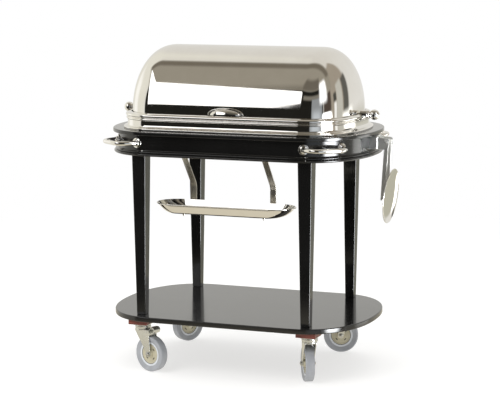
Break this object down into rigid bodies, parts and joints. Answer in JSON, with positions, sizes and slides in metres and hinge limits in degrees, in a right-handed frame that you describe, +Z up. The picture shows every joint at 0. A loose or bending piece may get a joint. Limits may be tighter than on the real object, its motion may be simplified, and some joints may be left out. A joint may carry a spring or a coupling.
{
  "type": "roll-top carving trolley",
  "caption": "Oval lacquered serving trolley on swivel castors, with a silver roll-top dome over a carving board, a hanging cutlery tray and a folding plate holder.",
  "frame": {"origin": "on the floor, under the middle of the bounding box; the carriage centre is 27.1 mm to -X of it", "axes": "+Z up; +X along the length towards the end with the plate holder; -Y towards the side with the cutlery tray"},
  "size_m": [1.0062, 0.6744, 1.128],
  "materials": {
    "lacquer": "gloss black lacquer",
    "silver": "polished silver plate",
    "steel": "satin stainless steel",
    "zinc": "bright zinc plating",
    "mahogany": "red-brown stain",
    "maple": "oiled",
    "hub_plastic": "cream moulding",
    "rubber": "grey non-marking rubber"
  },
  "bodies": {
    "carriage": {"shelf": "lacquer", "top_board": "lacquer", "apron": "lacquer", "apron_bead": "lacquer", "leg_fl": "lacquer", "leg_fr": "lacquer", "leg_bl": "lacquer", "leg_br": "lacquer", "castor_pad_fl": "mahogany", "castor_pad_fr": "mahogany", "castor_pad_bl": "mahogany", "castor_pad_br": "mahogany", "castor_plate_fl": "zinc", "castor_plate_fr": "zinc", "castor_plate_bl": "zinc", "castor_plate_br": "zinc", "pan_frame": "silver", "pivot_bracket_left": "silver", "pivot_bracket_right": "silver", "pivot_knob_left": "silver", "pivot_knob_right": "silver", "tray_hanger_left": "silver", "tray_hanger_right": "silver", "water_pan": "steel", "pan_deck": "steel", "handle_fl": "silver", "handle_fr": "silver", "handle_bl": "silver", "handle_br": "silver", "tray": "silver", "plate_bracket": "silver", "plate_pin": "silver"},
    "lid_body": {"lid": "silver", "lid_pull": "silver"},
    "plate_holder": {"plate_arm": "silver", "plate_dish": "silver"},
    "board_body": {"carving_board": "maple"},
    "sauce_front": {"sauce_pan_front": "steel"},
    "sauce_back": {"sauce_pan_back": "steel"},
    "sauce_cover_front": {"sauce_lid_front": "silver"},
    "sauce_cover_back": {"sauce_lid_back": "silver"},
    "castor_fl": {"castor_fork_fl": "zinc", "castor_axle_fl": "steel"},
    "wheel_fl": {"wheel_hub_fl": "hub_plastic", "wheel_tyre_fl": "rubber"},
    "castor_fr": {"castor_fork_fr": "zinc", "castor_axle_fr": "steel"},
    "wheel_fr": {"wheel_hub_fr": "hub_plastic", "wheel_tyre_fr": "rubber"},
    "castor_bl": {"castor_fork_bl": "zinc", "castor_axle_bl": "steel"},
    "wheel_bl": {"wheel_hub_bl": "hub_plastic", "wheel_tyre_bl": "rubber"},
    "castor_br": {"castor_fork_br": "zinc", "castor_axle_br": "steel"},
    "wheel_br": {"wheel_hub_br": "hub_plastic", "wheel_tyre_br": "rubber"},
    "pedal_fl": {"brake_pedal_fl": "zinc"},
    "pedal_fr": {"brake_pedal_fr": "zinc"}
  },
  "joints": [
    {"name": "lid_roll", "type": "hinge", "parent": "carriage", "child": "lid_body", "pos_m": [-0.02705, 0, 0.9], "axis": [-1, 0, 0], "range_deg": [0, 165]},
    {"name": "plate_arm_fold", "type": "hinge", "parent": "carriage", "child": "plate_holder", "pos_m": [0.48095, 0, 0.812], "axis": [0, -1, 0], "range_deg": [0, 96]},
    {"name": "carving_board_lift", "type": "slide", "parent": "carriage", "child": "board_body", "axis": [0, 0, 1], "range_m": [0, 0.06]},
    {"name": "sauce_pan_lift_front", "type": "slide", "parent": "carriage", "child": "sauce_front", "axis": [0, 0, 1], "range_m": [0, 0.06]},
    {"name": "sauce_pan_lift_back", "type": "slide", "parent": "carriage", "child": "sauce_back", "axis": [0, 0, 1], "range_m": [0, 0.06]},
    {"name": "sauce_cover_lift_front", "type": "slide", "parent": "sauce_front", "child": "sauce_cover_front", "axis": [0, 0, 1], "range_m": [0, 0.04]},
    {"name": "sauce_cover_lift_back", "type": "slide", "parent": "sauce_back", "child": "sauce_cover_back", "axis": [0, 0, 1], "range_m": [0, 0.04]},
    {"name": "castor_swivel_fl", "type": "hinge", "parent": "carriage", "child": "castor_fl", "pos_m": [-0.33405, -0.241, 0.155], "axis": [0, 0, 1], "continuous": true},
    {"name": "wheel_spin_fl", "type": "hinge", "parent": "castor_fl", "child": "wheel_fl", "pos_m": [-0.29647, -0.25468, 0.0625], "axis": [0.342, 0.9397, 0], "continuous": true},
    {"name": "castor_swivel_fr", "type": "hinge", "parent": "carriage", "child": "castor_fr", "pos_m": [0.27994, -0.241, 0.155], "axis": [0, 0, 1], "continuous": true},
    {"name": "wheel_spin_fr", "type": "hinge", "parent": "castor_fr", "child": "wheel_fr", "pos_m": [0.26179, -0.20536, 0.0625], "axis": [-0.891, -0.454, 0], "continuous": true},
    {"name": "castor_swivel_bl", "type": "hinge", "parent": "carriage", "child": "castor_bl", "pos_m": [-0.33405, 0.256, 0.155], "axis": [0, 0, 1], "continuous": true},
    {"name": "wheel_spin_bl", "type": "hinge", "parent": "castor_bl", "child": "wheel_bl", "pos_m": [-0.35466, 0.22171, 0.0625], "axis": [0.8572, -0.515, 0], "continuous": true},
    {"name": "castor_swivel_br", "type": "hinge", "parent": "carriage", "child": "castor_br", "pos_m": [0.27994, 0.256, 0.155], "axis": [0, 0, 1], "continuous": true},
    {"name": "wheel_spin_br", "type": "hinge", "parent": "castor_br", "child": "wheel_br", "pos_m": [0.24131, 0.24565, 0.0625], "axis": [0.2588, -0.9659, 0], "continuous": true},
    {"name": "brake_press_fl", "type": "hinge", "parent": "castor_fl", "child": "pedal_fl", "pos_m": [-0.30492, -0.2516, 0.138], "axis": [0.342, 0.9397, 0], "range_deg": [0, 10]},
    {"name": "brake_press_fr", "type": "hinge", "parent": "castor_fr", "child": "pedal_fr", "pos_m": [0.26587, -0.21338, 0.138], "axis": [-0.891, -0.454, 0], "range_deg": [0, 10]}
  ]
}
